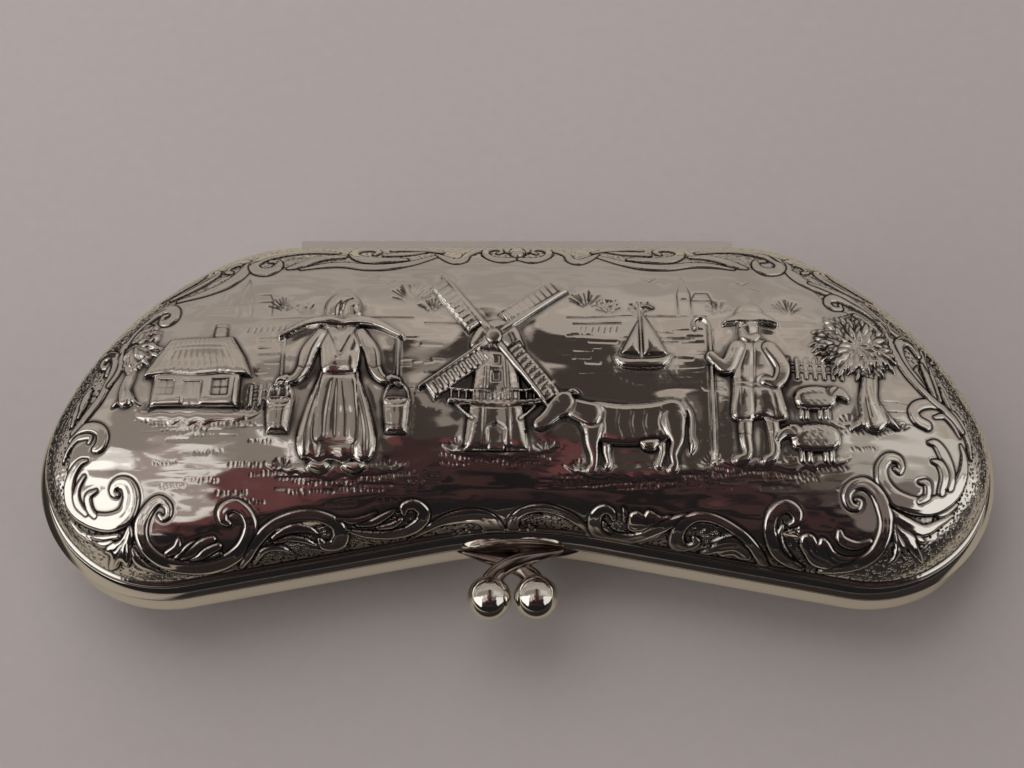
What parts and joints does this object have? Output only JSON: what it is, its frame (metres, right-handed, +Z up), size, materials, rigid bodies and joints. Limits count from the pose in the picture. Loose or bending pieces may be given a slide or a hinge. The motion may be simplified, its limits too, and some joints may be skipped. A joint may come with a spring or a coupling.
{
  "type": "spectacle case",
  "caption": "Kidney-shaped hinged silver spectacle case with two domed shells, a chased lid, rounded rims and a two-ball kiss lock.",
  "frame": {"origin": "in the flat that the case rests on, midway between its front and back edges", "axes": "+X along the case, -Y the side of the kiss lock, +Y the side of the hinge, +Z up, with the case shut and its lid on top"},
  "size_m": [0.1588, 0.0681, 0.0275],
  "materials": {
    "silver_shell": "chased and oxidised silver",
    "silver_rim": "polished silver",
    "liner_card": "matt",
    "lining_velvet": "velvet"
  },
  "bodies": {
    "base": {"base_shell": "silver_shell", "base_rim": "silver_rim", "locating_flange": "silver_rim", "base_liner_card": "liner_card", "base_lining": "lining_velvet", "base_hinge_leaf": "silver_rim", "hinge_pin": "silver_rim", "base_clasp_plate": "silver_rim", "base_clasp_arm": "silver_rim", "base_clasp_ball": "silver_rim"},
    "lid": {"lid_shell": "silver_shell", "lid_rim": "silver_rim", "lid_liner_card": "liner_card", "lid_lining": "lining_velvet", "lid_hinge_leaf": "silver_rim", "lid_clasp_plate": "silver_rim", "lid_clasp_arm": "silver_rim", "lid_clasp_ball": "silver_rim"}
  },
  "joints": [
    {"name": "lid_hinge", "type": "hinge", "parent": "base", "child": "lid", "pos_m": [0, 0.032, 0.013], "axis": [-1, 0, 0], "range_deg": [0, 105]}
  ]
}
